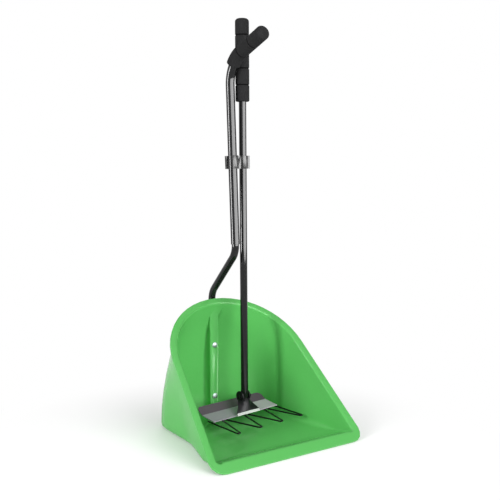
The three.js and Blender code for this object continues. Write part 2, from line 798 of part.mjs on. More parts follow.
// The shoe is one sheet: a foot on the plate, a fold as its front lip, and a leaf that runs back up
// to a saddle round the tube, with two round lugs for the cross bolt
function shoeGeometry() {
  const inner = rakeTubeRadius + seatGap;
  const foldZ = plateTopAt(shoeLip) + seatGap + shoeLipRise + shoeSheet * (1 - foldOverlap_share);
  const saddle = (s) => {
    const turn = THREE.MathUtils.clamp(s / shoeArc_share, -1, 1) * (Math.PI / 2);
    const back = Math.max(0, (Math.abs(s) - shoeArc_share) / (1 - shoeArc_share)) * shoeArmBack;
    return new THREE.Vector3(inner * Math.sin(turn), -inner * Math.cos(turn) + back, shoeSaddle);
  };
  const face = [];
  for (let r = 0; r <= shoeRows; r += 1) {
    const share = r / shoeRows;
    const row = [];
    for (let c = 0; c <= shoeColumns; c += 1) {
      const s = (2 * c) / shoeColumns - 1;
      const flat = new THREE.Vector3(s * shoeLipHalf, -shoeLip + shoeSheet, foldZ);
      row.push(flat.lerp(saddle(s), share));
    }
    face.push(row);
  }
  face.push(face[shoeRows].map((point) => new THREE.Vector3(point.x, point.y, shoeTop)));
  const leaf = sheetOf(face, shoeSheet);
  const footRow = (half, forward, rise) => [-half, 0, half].map((across) => new THREE.Vector3(
    across,
    -forward,
    plateTopAt(forward) + seatGap + rise,
  ));
  const foot = sheetOf([
    footRow(shoeLipHalf, shoeLip, shoeLipRise),
    footRow(shoeHeelHalf, shoeHeel, 0),
    footRow(shoeFootBackHalf, -shoeFootBack, 0),
  ], shoeSheet);
  const lugs = [-1, 1].map((side) => pin(shoeLugRadius, 0, shoeSheet, gripSides)
    .rotateY(side * (Math.PI / 2)).translate(side * inner, shoeLugBack, shoeBoltRise));
  const reach = inner + shoeSheet + cutOverrun;
  const boltHole = pin(shoeBoltRadius + boltHoleGap, -reach, reach, boltSides)
    .rotateY(Math.PI / 2).translate(0, 0, shoeBoltRise);
  return cut(fuse(leaf, [foot, ...lugs]), [boltHole, ...rivetPlaces.map(rivetHole)]);
}

// Gives a grid of points a thickness and closes it into one body
function sheetOf(face, thickness) {
  const rows = face.length;
  const columns = face[0].length;
  const behind = face.map((row, r) => row.map((point, c) => {
    const across = row[Math.min(c + 1, columns - 1)].clone().sub(row[Math.max(c - 1, 0)]);
    const along = face[Math.min(r + 1, rows - 1)][c].clone().sub(face[Math.max(r - 1, 0)][c]);
    return point.clone().addScaledVector(across.cross(along).normalize(), thickness);
  }));
  const loops = face.map((row, r) => [...row, ...behind[r].slice().reverse()]);
  const count = loops[0].length;
  const positions = loops.flat().flatMap((point) => [point.x, point.y, point.z]);
  const faces = [];
  for (let r = 0; r < rows - 1; r += 1) {
    for (let j = 0; j < count; j += 1) {
      const next = (j + 1) % count;
      const [a, b] = [r * count + j, r * count + next];
      faces.push(a, b + count, b, a, a + count, b + count);
    }
  }
  for (let c = 0; c < columns - 1; c += 1) {
    const [a, b] = [c, c + 1];
    const [d, e] = [count - 1 - c, count - 2 - c];
    faces.push(a, b, e, a, e, d);
    const top = (rows - 1) * count;
    faces.push(top + a, top + e, top + b, top + a, top + d, top + e);
  }
  const geometry = new THREE.BufferGeometry();
  geometry.setAttribute('position', new THREE.Float32BufferAttribute(positions, 3));
  geometry.setIndex(faces);
  return geometry;
}

const part = new THREE.Group();
part.add(mesh('scoop_pan', panGeometry(), green));
part.add(mesh('lower_tube', lowerTube(), blackPaint));
part.add(mesh('upper_tube', upperTube(), blackPaint));

const plugBody = turned([
  [0, -plugCap],
  [lowerTubeRadius, -plugCap],
  [lowerTubeRadius, -seatGap],
  [lowerTubeRadius - lowerTubeWall - seatGap, -seatGap],
  [lowerTubeRadius - lowerTubeWall - seatGap, plugLength],
  [0, plugLength],
], tubeSides);
const plug = mesh('lower_tube_plug', plugBody, blackPlastic);
plug.position.set(0, handleY, lowerTubeEnd);
part.add(plug);

part.add(mesh('handle_grip', foamGrip(
  gripRoute,
  handleGripRadius,
  upperTubeRadius + gripBoreGap,
  handleGripSegmentLength,
  handleGripSegmentCount,
), foam));

const boltBack = handleY + lowerTubeRadius - ribFront;
panBoltHeights.forEach((height, i) => {
  const set = new THREE.Group();
  set.position.set(0, ribFront, height);
  set.rotation.x = -Math.PI / 2;
  const washerAt = boltBack + seatGap;
  const nutAt = washerAt + washerThickness + seatGap;
  const length = nutAt + nutHeight + boltEnd;
  const bolt = mesh(`pan_bolt_${panBoltNames[i]}`, headedPin(
    boltRadius,
    length,
    boltHeadRadius,
    boltHeadHeight,
    boltSides,
  ), zinc);
  bolt.position.z = -seatGap;
  const bore = boltRadius + boltHoleGap;
  const washer = mesh(`pan_washer_${panBoltNames[i]}`, ringPiece(
    washerRadius,
    bore,
    washerThickness,
    boltSides,
  ), zinc);
  washer.position.z = washerAt;
  const nut = mesh(`pan_nut_${panBoltNames[i]}`, ringPiece(
    nutAcrossCorners / 2,
    bore,
    nutHeight,
    hexSides,
  ), zinc);
  nut.position.z = nutAt;
  set.add(bolt, washer, nut);
  part.add(set);
});

const jointScrew = mesh('tube_joint_screw', headedPin(
  jointScrewRadius,
  jointScrewLength,
  jointScrewHeadRadius,
  jointScrewHeadHeight,
  boltSides,
), zinc);
jointScrew.rotation.x = Math.PI / 2 - handleLean;
jointScrew.position.copy(handleAt(jointScrewHeight)).addScaledVector(
  new THREE.Vector3(0, Math.cos(handleLean), -Math.sin(handleLean)),
  upperTubeRadius + seatGap,
);
part.add(jointScrew);

clipGroup.position.copy(clipAxis);
clipGroup.rotation.z = clipTurn;
clipGroup.add(mesh('storage_clip', clipGeometry(), blackPlastic));
part.add(clipGroup);

const rake = new THREE.Group();
const rakeWay = new THREE.Vector3(0, Math.sin(rakeLean), Math.cos(rakeLean))
  .applyAxisAngle(up, clipTurn);
rake.position.set(clipSpacing, 0, 0).applyAxisAngle(up, clipTurn).add(clipAxis)
  .addScaledVector(rakeWay, (rakeHeadHeight - clipHeight) / rakeWay.z);
rake.rotation.set(-rakeLean, 0, clipTurn, 'ZXY');

const tubeFoot = plateTopAt(-rakeTubeRadius) + shoeSheet + seatGap * 3;
const rakeCrown = rakeTop - rakeHeadHeight;
const tubeHead = rakeCrown - gripEndWall - seatGap;
const rakeRoute = (end) => new BentRoute([
  new THREE.Vector3(0, 0, tubeFoot),
  new THREE.Vector3(0, 0, end),
], 0, 0);
const shoeHole = pin(
  shoeBoltRadius + boltHoleGap,
  -rakeTubeRadius - cutOverrun,
  rakeTubeRadius + cutOverrun,
  boltSides,
).rotateY(Math.PI / 2).translate(0, 0, shoeBoltRise);
const rakeTube = rodAlong(rakeRoute(tubeHead), rakeTubeRadius, tubeSides, rakeTubeRadius - rakeTubeWall);
rake.add(mesh('rake_tube', cut(rakeTube, [shoeHole]), blackPaint));

rake.add(mesh('rake_grip', foamGrip(
  rakeRoute(rakeCrown),
  rakeGripRadius,
  rakeTubeRadius + gripBoreGap,
  rakeGripSegmentLength,
  rakeGripSegmentCount,
), foam));
rake.add(mesh('rake_head_plate', headPlate(), greyPlate));
rake.add(mesh('rake_tines', tineWire(), blackPaint));
rake.add(mesh('rake_shoe', shoeGeometry(), blackPaint));

const shoeHalf = rakeTubeRadius + seatGap + shoeSheet;
const shoeNutAt = shoeHalf * 2 + seatGap * 2;
const shoeBoltSet = new THREE.Group();
shoeBoltSet.position.set(-shoeHalf - seatGap, 0, shoeBoltRise);
shoeBoltSet.rotation.y = Math.PI / 2;
shoeBoltSet.add(mesh('shoe_bolt', headedPin(
  shoeBoltRadius,
  shoeNutAt + shoeNutHeight + boltEnd,
  shoeBoltHeadRadius,
  shoeBoltHeadHeight,
  boltSides,
), blackPaint));
const shoeNut = mesh('shoe_nut', ringPiece(
  shoeNutAcrossCorners / 2,
  shoeBoltRadius + boltHoleGap,
  shoeNutHeight,
  hexSides,
), blackPaint);
shoeNut.position.z = shoeNutAt;
shoeBoltSet.add(shoeNut);
rake.add(shoeBoltSet);

rivetPlaces.forEach(([x, y], i) => {
  const tilt = Math.atan(plateSlope);
  const stand = (seatGap + shoeSheet) * Math.cos(tilt) + seatGap;
  const side = i === 0 ? 'left' : 'right';
  const rivet = mesh(`shoe_rivet_${side}`, headedPin(
    rivetRadius,
    shoeSheet + plateThickness + seatGap * 2,
    rivetHeadRadius,
    rivetHeadHeight,
    boltSides,
  ), blackPaint);
  rivet.rotation.x = Math.PI + tilt;
  rivet.position.set(x, y - stand * Math.sin(tilt), plateTopAt(-y) + stand * Math.cos(tilt));
  rake.add(rivet);
});
part.add(rake);
part.position.y = -originBack;

export default part;
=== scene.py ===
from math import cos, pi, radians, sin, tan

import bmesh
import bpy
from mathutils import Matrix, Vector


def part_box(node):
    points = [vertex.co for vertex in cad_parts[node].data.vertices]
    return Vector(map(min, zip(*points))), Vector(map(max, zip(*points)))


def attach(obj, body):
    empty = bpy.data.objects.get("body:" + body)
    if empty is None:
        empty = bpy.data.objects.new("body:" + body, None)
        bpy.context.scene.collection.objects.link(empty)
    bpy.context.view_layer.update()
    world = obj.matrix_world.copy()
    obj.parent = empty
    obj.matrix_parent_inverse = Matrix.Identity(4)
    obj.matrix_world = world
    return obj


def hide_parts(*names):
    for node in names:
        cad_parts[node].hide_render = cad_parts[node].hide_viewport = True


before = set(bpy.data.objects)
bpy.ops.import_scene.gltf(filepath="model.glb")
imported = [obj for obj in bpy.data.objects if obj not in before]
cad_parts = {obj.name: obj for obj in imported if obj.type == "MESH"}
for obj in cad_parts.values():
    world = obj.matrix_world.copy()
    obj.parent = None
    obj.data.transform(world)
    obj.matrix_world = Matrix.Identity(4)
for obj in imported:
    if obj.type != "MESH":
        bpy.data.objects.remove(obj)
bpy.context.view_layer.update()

# %% [markdown]
# A manure scoop stands on a white studio floor. Its green pan is one moulding, its black
# handle is bent tube with a foam grip, and a rake with wire tines hangs beside the handle
# in a spring clip. The CAD frame gives every place in metres, so nothing has to be fitted
# by eye. This first cell brings in the CAD model and moves every part into the frame's own place.

# %% [markdown]
# The camera comes first, because everything else is judged through it. The photograph was
# taken from the front left, from above the pan's rim and looking slightly down. A long lens
# would flatten the pan, so the focal length is the one that gives its rim the same taper as
# in the photograph.

# %% Camera
camera_place = Vector((-0.9038, -1.3856, 0.5751))
camera_heading = radians(33.70)
camera_drop = radians(6.28)
camera_data = bpy.data.cameras.new("camera")
camera_data.sensor_width = 36
camera_data.lens = 56.86
camera_data.clip_start = 0.05
camera = bpy.data.objects.new("camera", camera_data)
camera.location = camera_place
camera.rotation_euler = (pi / 2 - camera_drop, 0, -camera_heading)
bpy.context.scene.collection.objects.link(camera)
bpy.context.scene.camera = camera
bpy.context.scene.view_settings.view_transform = "Standard"
print("camera", tuple(camera.location))

# %% [markdown]
# The stage is one pale floor that runs far behind the object. A floor lit to pure white
# would lose the object's shadow, so near the object it is an ordinary matt white that the
# camera and every reflection see a little brighter. The shadow fades out within 60 cm, and
# from there on the floor is plain white, so no horizon shows behind the handle.

# %% Floor
FLOOR_WHITE = (0.86, 0.86, 0.86, 1)
FLOOR_GLOW = 0.06
FLOOR_HALF_WIDTH = 14.0
STAGE_CENTRE = (-0.1, -0.1, 0)
SHADOW_REACH = (0.25, 0.6)


def new_material(name):
    material = bpy.data.materials.new(name)
    material.use_nodes = True
    return material, material.node_tree.nodes, material.node_tree.links


def seen_or_mirrored(nodes, links):
    rays = nodes.new("ShaderNodeLightPath")
    either = rays.outputs["Is Camera Ray"]
    for kind in ("Is Glossy Ray", "Is Transmission Ray"):
        larger = nodes.new("ShaderNodeMath")
        larger.operation = "MAXIMUM"
        links.new(either, larger.inputs[0])
        links.new(rays.outputs[kind], larger.inputs[1])
        either = larger.outputs[0]
    return either


def studio_floor_finish():
    material, nodes, links = new_material("studio_floor")
    shader = nodes["Principled BSDF"]
    shader.inputs["Base Color"].default_value = FLOOR_WHITE
    shader.inputs["Roughness"].default_value = 0.6
    shader.inputs["Specular IOR Level"].default_value = 0.1
    glow = nodes.new("ShaderNodeEmission")
    glow.inputs["Strength"].default_value = FLOOR_GLOW
    white = nodes.new("ShaderNodeEmission")
    place = nodes.new("ShaderNodeTexCoord")
    away = nodes.new("ShaderNodeVectorMath")
    away.operation = "DISTANCE"
    away.inputs[1].default_value = STAGE_CENTRE
    reach = nodes.new("ShaderNodeMapRange")
    reach.interpolation_type = "SMOOTHSTEP"
    reach.inputs["From Min"].default_value = SHADOW_REACH[0]
    reach.inputs["From Max"].default_value = SHADOW_REACH[1]
    both = nodes.new("ShaderNodeAddShader")
    far = nodes.new("ShaderNodeMixShader")
    pick = nodes.new("ShaderNodeMixShader")
    links.new(place.outputs["Object"], away.inputs[0])
    links.new(away.outputs["Value"], reach.inputs["Value"])
    links.new(shader.outputs[0], both.inputs[0])
    links.new(glow.outputs[0], both.inputs[1])
    links.new(reach.outputs["Result"], far.inputs[0])
    links.new(both.outputs[0], far.inputs[1])
    links.new(white.outputs[0], far.inputs[2])
    links.new(seen_or_mirrored(nodes, links), pick.inputs[0])
    links.new(shader.outputs[0], pick.inputs[1])
    links.new(far.outputs[0], pick.inputs[2])
    links.new(pick.outputs[0], nodes["Material Output"].inputs["Surface"])
    return material


def studio_floor():
    shape = bmesh.new()
    bmesh.ops.create_grid(shape, x_segments=1, y_segments=1, size=FLOOR_HALF_WIDTH)
    mesh = bpy.data.meshes.new("studio_floor")
    shape.to_mesh(mesh)
    shape.free()
    floor = bpy.data.objects.new("studio_floor", mesh)
    bpy.context.scene.collection.objects.link(floor)
    mesh.materials.append(studio_floor_finish())
    return floor


floor = studio_floor()
print("floor", tuple(floor.dimensions))

# %% [markdown]
# Black gloss tube shows its light more than its colour. In the photograph each tube carries
# upright streaks, which are the reflections of tall panels around the camera. So the front
# box and the left strip only light the surfaces, the two cards are only seen in reflections,
# where their place decides where a streak runs, and the high and the back box do both. The
# world around them is plain white to the camera and in reflections, and a softer grey light
# on everything else.

# %% Lights
WORLD_STRENGTH = 0.38


def soft_box(name, place, aim, width, height, watts, matt=True, gloss=True):
    data = bpy.data.lights.new(name, "AREA")
    data.shape = "RECTANGLE"
    data.size = width
    data.size_y = height
    data.energy = watts
    lamp = bpy.data.objects.new(name, data)
    lamp.location = place
    lamp.rotation_euler = (Vector(aim) - Vector(place)).to_track_quat("-Z", "Y").to_euler()
    lamp.visible_diffuse = matt
    lamp.visible_glossy = gloss
    bpy.context.scene.collection.objects.link(lamp)


def studio_world():
    world = bpy.data.worlds.new("studio_world")
    world.use_nodes = True
    nodes, links = world.node_tree.nodes, world.node_tree.links
    around = nodes["Background"]
    around.inputs["Color"].default_value = (1, 1, 1, 1)
    around.inputs["Strength"].default_value = WORLD_STRENGTH
    white = nodes.new("ShaderNodeBackground")
    white.inputs["Color"].default_value = (1, 1, 1, 1)
    pick = nodes.new("ShaderNodeMixShader")
    links.new(seen_or_mirrored(nodes, links), pick.inputs[0])
    links.new(around.outputs[0], pick.inputs[1])
    links.new(white.outputs[0], pick.inputs[2])
    links.new(pick.outputs[0], nodes["World Output"].inputs["Surface"])
    bpy.context.scene.world = world


soft_box("front_box", place=(0.2, -2.4, 0.9), aim=(0.05, 0.0, 0.5),
         width=1.5, height=1.6, watts=58, gloss=False)
soft_box("front_card", place=(0.55, -2.35, 0.9), aim=(0.0, 0.0, 0.9),
         width=4.4, height=1.6, watts=350, matt=False)
soft_box("left_card", place=(-2.15, 0.5, 0.9), aim=(0.0, 0.0, 0.9),
         width=0.5, height=1.6, watts=105, matt=False)
soft_box("left_strip", place=(-2.2, -0.36, 1.1), aim=(0.0, 0.0, 1.1),
         width=0.35, height=1.7, watts=45, gloss=False)
soft_box("high_box", place=(0.1, -0.9, 2.6), aim=(0.0, 0.0, 0.2),
         width=2.6, height=1.4, watts=14)
soft_box("back_box", place=(1.5, 2.0, 1.9), aim=(0.0, 0.0, 0.2),
         width=2.0, height=1.6, watts=12)
studio_world()

# %% [markdown]
# Several finishes share one effect: a very fine unevenness, coarse on foam, fine on powder
# coat and almost nothing on moulded plastic. A node group is built once and placed in each
# material with its own numbers. It puts out a height for a Bump node and a mask that
# lightens or roughens the surface in soft patches.

# %% Shared surface group
def surface_group():
    group = bpy.data.node_groups.new("fine_surface", "ShaderNodeTree")
    face = group.interface
    for name, value in (("Grain", 400.0), ("Patches", 12.0), ("Low", 0.0), ("High", 1.0)):
        socket = face.new_socket(name, in_out="INPUT", socket_type="NodeSocketFloat")
        socket.default_value = value
    face.new_socket("Height", in_out="OUTPUT", socket_type="NodeSocketFloat")
    face.new_socket("Patch Value", in_out="OUTPUT", socket_type="NodeSocketFloat")
    nodes, links = group.nodes, group.links
    given = nodes.new("NodeGroupInput")
    result = nodes.new("NodeGroupOutput")
    place = nodes.new("ShaderNodeTexCoord")
    grain = nodes.new("ShaderNodeTexNoise")
    grain.inputs["Detail"].default_value = 3
    patches = nodes.new("ShaderNodeTexNoise")
    patches.inputs["Detail"].default_value = 4
    spread = nodes.new("ShaderNodeMapRange")
    spread.inputs["From Min"].default_value = 0.35
    spread.inputs["From Max"].default_value = 0.65
    for texture, scale in ((grain, "Grain"), (patches, "Patches")):
        links.new(place.outputs["Object"], texture.inputs["Vector"])
        links.new(given.outputs[scale], texture.inputs["Scale"])
    links.new(patches.outputs["Fac"], spread.inputs["Value"])
    links.new(given.outputs["Low"], spread.inputs["To Min"])
    links.new(given.outputs["High"], spread.inputs["To Max"])
    links.new(grain.outputs["Fac"], result.inputs["Height"])
    links.new(spread.outputs["Result"], result.inputs["Patch Value"])
    return group


fine_surface = surface_group()
print("group", fine_surface.name, [item.name for item in fine_surface.interface.items_tree])

# %% [markdown]
# Each finish is a Principled shader with the group behind it. The patch value drives the
# roughness, so a highlight breaks up a little as it crosses the piece, and the height feeds
# a Bump node whose distance is the real depth of the grain in metres. Where a second shade
# is given, the height also mixes the two colours.
#
# Some colours change along a piece, and they are painted light and shade: painted shade makes
# the flat rim of the pan deeper than its walls, and on the head plate painted shade darkens the
# strip behind its fold and painted light brightens its right end. A mask is a smooth step along
# one direction, measured in metres from a point, and a tint mixes its colour in where the mask is
# one.

# %% Finish, mask and tint
def finish(name, colour, roughness, grain, depth, patches=12.0, metallic=0.0, shade=None,
           specular=0.5):
    material, nodes, links = new_material(name)
    shader = nodes["Principled BSDF"]
    shader.inputs["Base Color"].default_value = (*colour, 1)
    shader.inputs["Metallic"].default_value = metallic
    shader.inputs["Specular IOR Level"].default_value = specular
    surface = nodes.new("ShaderNodeGroup")
    surface.node_tree = fine_surface
    surface.inputs["Grain"].default_value = grain
    surface.inputs["Patches"].default_value = patches
    surface.inputs["Low"].default_value = roughness[0]
    surface.inputs["High"].default_value = roughness[1]
    bump = nodes.new("ShaderNodeBump")
    bump.inputs["Distance"].default_value = depth
    links.new(surface.outputs["Height"], bump.inputs["Height"])
    links.new(bump.outputs["Normal"], shader.inputs["Normal"])
    links.new(surface.outputs["Patch Value"], shader.inputs["Roughness"])
    if shade:
        mix = nodes.new("ShaderNodeMix")
        mix.data_type = "RGBA"
        mix.inputs["A"].default_value = (*colour, 1)
        mix.inputs["B"].default_value = (*shade, 1)
        links.new(surface.outputs["Height"], mix.inputs["Factor"])
        links.new(mix.outputs["Result"], shader.inputs["Base Color"])
    return material


def mask_along(material, start, way, none, full):
    nodes, links = material.node_tree.nodes, material.node_tree.links
    place = nodes.new("ShaderNodeTexCoord")
    away = nodes.new("ShaderNodeVectorMath")
    away.operation = "SUBTRACT"
    away.inputs[1].default_value = start
    measured = nodes.new("ShaderNodeVectorMath")
    measured.operation = "DOT_PRODUCT"
    measured.inputs[1].default_value = way
    reach = nodes.new("ShaderNodeMapRange")
    reach.interpolation_type = "SMOOTHSTEP"
    reach.inputs["From Min"].default_value = none
    reach.inputs["From Max"].default_value = full
    links.new(place.outputs["Object"], away.inputs[0])
    links.new(away.outputs["Vector"], measured.inputs[0])
    links.new(measured.outputs["Value"], reach.inputs["Value"])
    return reach.outputs["Result"]


def tint(material, colour, mask):
    nodes, links = material.node_tree.nodes, material.node_tree.links
    base = nodes["Principled BSDF"].inputs["Base Color"]
    mix = nodes.new("ShaderNodeMix")
    mix.data_type = "RGBA"
    mix.inputs["A"].default_value = tuple(base.default_value)
    if base.is_linked:
        links.new(base.links[0].from_socket, mix.inputs["A"])
    mix.inputs["B"].default_value = (*colour, 1)
    links.new(mask, mix.inputs["Factor"])
    links.new(mix.outputs["Result"], base)


# %% [markdown]
# Now the finishes themselves. The two numbers of each roughness are its lowest and highest
# patch, the grain is the scale of the unevenness and the depth its height in metres. The
# foam's grooves get painted shade: they run round bends and have no single direction, so the
# mask of that painted shade is a value that every point of the foam carries.

# %% Finishes
pan_green = finish("pan_green", (0.1, 0.415, 0.102), roughness=(0.15, 0.2), grain=180,
                   depth=0.00001, patches=9, shade=(0.09, 0.4, 0.092), specular=0.14)
rim_slope = radians(42.1)
rim_normal = (0, -sin(rim_slope), cos(rim_slope))
rim_point = (0, 0.105, 0.2685)
# Painted shade: the flat rim of the pan is tinted a deeper green than its walls, so it looks no
# brighter than they do.
rim_painted_shade = mask_along(pan_green, rim_point, rim_normal, none=-0.0025, full=-0.001)
tint(pan_green, (0.076, 0.34, 0.076), rim_painted_shade)
tube_black = finish("tube_black", (0.006, 0.006, 0.0065), roughness=(0.04, 0.08), grain=200,
                    depth=0.000001, specular=0.27)
foam_black = finish("foam_black", (0.008, 0.008, 0.0084), roughness=(0.75, 0.95), grain=900,
                    depth=0.0004, patches=60, shade=(0.026, 0.026, 0.0266), specular=0.03)
# Painted shade: the foam's grooves are tinted almost black, more where the groove is deeper.
groove_painted_shade = foam_black.node_tree.nodes.new("ShaderNodeAttribute")
groove_painted_shade.attribute_name = "groove"
tint(foam_black, (0.001, 0.001, 0.001), groove_painted_shade.outputs["Fac"])
clip_black = finish("clip_black", (0.012, 0.012, 0.012), roughness=(0.16, 0.26), grain=300,
                    depth=0.00002, specular=0.35)
plug_black = finish("plug_black", (0.02, 0.02, 0.02), roughness=(0.5, 0.6), grain=500,
                    depth=0.00005)
# Zinc grey with a painted reflection of the green pan tinted into it.
bolt_zinc_painted_reflection = finish("bolt_zinc_painted_reflection", (0.2, 0.25, 0.23), roughness=(0.48, 0.58), grain=700,
                   depth=0.00002, metallic=1.0)
plate_paint = finish("plate_paint", (0.28, 0.24, 0.3), roughness=(0.3, 0.4), grain=500,
                     depth=0.00001, patches=25, shade=(0.3, 0.26, 0.32), specular=0.25)
shoe_black = finish("shoe_black", (0.007, 0.007, 0.008), roughness=(0.32, 0.42), grain=400,
                    depth=0.00001, specular=0.1)
wire_black = finish("wire_black", (0.004, 0.004, 0.0045), roughness=(0.2, 0.3), grain=500,
                    depth=0.00003, specular=0.15)
print("finishes", len(bpy.data.materials))

# %% [markdown]
# A CAD node comes in as loose triangles, each with its own corners, which makes every facet
# show. A copy with its corners merged can be shaded smooth, with sharp edges only where the
# faces really meet at an angle. A narrow Bevel modifier then gives each hard edge the small
# round that catches light.

# %% Dressing helpers
SMOOTH_LIMIT = radians(32)
MERGE_DISTANCE = 0.000005
SLIVER_DISTANCE = 0.000001


def add_object(name, shape, material, body, nodes, limit=SMOOTH_LIMIT):
    mesh = bpy.data.meshes.new(name)
    shape.to_mesh(mesh)
    shape.free()
    piece = bpy.data.objects.new(name, mesh)
    bpy.context.scene.collection.objects.link(piece)
    mesh.materials.append(material)
    mesh.shade_smooth()
    mesh.set_sharp_from_angle(angle=limit)
    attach(piece, body)
    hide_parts(*nodes)
    print(name, "faces", len(mesh.polygons))
    return piece


def merged_shape(node):
    shape = bmesh.new()
    shape.from_mesh(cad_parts[node].data)
    shape.transform(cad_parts[node].matrix_world)
    bmesh.ops.remove_doubles(shape, verts=shape.verts, dist=MERGE_DISTANCE)
    bmesh.ops.dissolve_degenerate(shape, edges=shape.edges, dist=SLIVER_DISTANCE)
    return shape


def soften(piece, width, limit=SMOOTH_LIMIT):
    bevel = piece.modifiers.new("edge_round", "BEVEL")
    bevel.width = width
    bevel.segments = 2
    bevel.limit_method = "ANGLE"
    bevel.angle_limit = limit
    bevel.harden_normals = True


# %% [markdown]
# The pan is the piece the eye goes to first. Its form is already complete in the frame:
# flat sloping rim, rounded walls and the channel rib that holds the handle. A copy with
# merged corners keeps that form and shows it as one smooth moulding. Its normals are
# weighed by the area of the faces, so the large faces stay even in the light and the small
# ones beside them take up the turn.

# %% Pan
pan = add_object("pan_moulding", merged_shape("scoop_pan"), pan_green, "scoop",
                 ["scoop_pan"])
by_area = pan.modifiers.new("normals_by_area", "WEIGHTED_NORMAL")
by_area.keep_sharp = True
by_area.mode = "FACE_AREA_WITH_ANGLE"

# %% [markdown]
# A bent tube is made here as a tube bender makes it. A ring of points is the tube's end: it
# is drawn out straight with an extrude and swung round the bend with a spin, run after run.
# That keeps the section round through every bend, where a swept curve would flatten it. A
# solidify at the end gives the skin the thickness of the tube's wall.

# %% Tube bending
TUBE_SIDES = 48


def ring_across(shape, at, along, radius):
    turn = along.to_track_quat("Z", "X").to_matrix().to_4x4()
    made = bmesh.ops.create_circle(shape, segments=TUBE_SIDES, radius=radius,
                                   matrix=Matrix.Translation(at) @ turn)
    edges = {edge for vert in made["verts"] for edge in vert.link_edges}
    return sorted(edges, key=lambda edge: edge.index)


def draw_straight(shape, edges, way):
    made = bmesh.ops.extrude_edge_only(shape, edges=edges)["geom"]
    corners = [item for item in made if isinstance(item, bmesh.types.BMVert)]
    bmesh.ops.translate(shape, verts=corners, vec=way)
    return [item for item in made
            if isinstance(item, bmesh.types.BMEdge) and not item.link_faces[1:]]


def swing_bend(shape, edges, centre, axis, angle, steps):
    corners = list({vert for edge in edges for vert in edge.verts})
    made = bmesh.ops.spin(shape, geom=corners + edges, cent=centre, axis=axis, angle=angle,
                          steps=steps, use_merge=False)["geom_last"]
    return [item for item in made if isinstance(item, bmesh.types.BMEdge)]


def bent_tube_shape(corners, radius, wall, bend_radius=0, bend_steps=0):
    shape = bmesh.new()
    ways = [(b - a).normalized() for a, b in zip(corners, corners[1:])]
    edges = ring_across(shape, corners[0], ways[0], radius)
    at = corners[0]
    for corner, way, onward in zip(corners[1:], ways, ways[1:]):
        turn = way.angle(onward)
        reach = bend_radius * tan(turn / 2)
        axis = way.cross(onward).normalized()
        start = corner - way * reach
        edges = draw_straight(shape, edges, start - at)
        centre = start + axis.cross(way).normalized() * bend_radius
        edges = swing_bend(shape, edges, centre, axis, turn, bend_steps)
        at = corner + onward * reach
    draw_straight(shape, edges, corners[-1] - at)
    bmesh.ops.recalc_face_normals(shape, faces=shape.faces)
    bmesh.ops.solidify(shape, geom=shape.faces, thickness=wall)
    return shape


# %% [markdown]
# The lower tube rises in the groove behind the rib, cranks forwards over the pan and ends
# inside the upper tube. The upper tube leans back a little and bends forwards at its top,
# where its grip goes. The rake's tube is straight and stands in the clip, which is turned a
# little on the handle. Heights are measured from the ground.

# %% The three tubes
origin_back = 0.190
groove_back = 0.3143
crank_forwards = 0.0995
handle_y = groove_back - origin_back
crank_y = handle_y - crank_forwards
foot_height, crank_low, crank_high, inner_top = 0.018, 0.28599, 0.38449, 0.465
upper_foot, upper_corner = 0.40299, 0.7858
handle_lean = radians(3.27)
handle_way = Vector((0, sin(handle_lean), cos(handle_lean)))


def handle_at(height):
    return Vector((0, crank_y + (height - crank_high) * tan(handle_lean), height))


lower_corners = [
    Vector((0, handle_y, foot_height)),
    Vector((0, handle_y, crank_low)),
    Vector((0, crank_y, crank_high)),
    handle_at(inner_top),
]
lower_shape = bent_tube_shape(lower_corners, radius=0.008, wall=0.0015, bend_radius=0.040,
                              bend_steps=16)
add_object("crank_tube", lower_shape, tube_black, "scoop", ["lower_tube"])

top_corner = handle_at(upper_corner)
grip_pitch = radians(19.9)
grip_way = Vector((0, -cos(grip_pitch), sin(grip_pitch)))
top_bend = 0.0664
top_turn = handle_way.angle(grip_way)
top_reach = top_bend * tan(top_turn / 2)
grip_segment, grip_segments = 0.0423, 3
mouth_reach = 0.0452
grip_end_wall = 0.0093
straight_grip = mouth_reach + grip_segment * grip_segments - top_bend * top_turn
crown_place = top_corner + grip_way * (top_reach + straight_grip)
upper_corners = [handle_at(upper_foot), top_corner, crown_place - grip_way * grip_end_wall]
upper_shape = bent_tube_shape(upper_corners, radius=0.0095, wall=0.0012,
                              bend_radius=top_bend, bend_steps=32)
upper_tube = add_object("handle_tube", upper_shape, tube_black, "scoop",
                        ["upper_tube"])
soften(upper_tube, 0.0003)

rake_low, rake_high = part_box("rake_tube")
rake_lean = radians(0.54)
clip_turn = Matrix.Rotation(radians(7.2), 3, "Z")
clip_height, clip_spacing = 0.577, 0.0285
rake_way = clip_turn @ Vector((0, sin(rake_lean), cos(rake_lean)))
rake_across = clip_turn @ Vector((1, 0, 0))
rake_through = handle_at(clip_height) + clip_turn @ Vector((clip_spacing, 0, 0))


def rake_at(height):
    return rake_through + rake_way * ((height - rake_through.z) / rake_way.z)


rake_tube_shape = bent_tube_shape([rake_at(rake_low[2]), rake_at(rake_high[2])],
                                  radius=0.008, wall=0.0014)
add_object("rake_pole", rake_tube_shape, tube_black, "rake", ["rake_tube"])

# %% [markdown]
# A foam grip is a thick sleeve of short segments with a closed, rounded end. Its outline is
# drawn once, from the mouth over each groove to the crown, and spun into a straight sleeve.
# Each point then takes its depth in a groove, for the painted shade in the grooves. The
# handle's grip is pushed on over the top bend, so its sleeve is wrapped round that route: every
# point keeps its place across the tube and takes its length from the bend.

# %% Foam grips
FOAM_RADIUS = 0.0148
FOAM_SPACING = 0.002
FOAM_TURNS = 72
BORE_ROWS = 40
GROOVE_DEPTH, GROOVE_HALF = 0.0014, 0.0016
MOUTH, CROWN = 0.0025, 0.007
MOUTH_STEP, MOUTH_RISE = 0.001, 0.0006
CROWN_FLAT = 0.004
GROOVES_FROM, GROOVES_TO = 0.004, 0.01
SKIN = 0.002


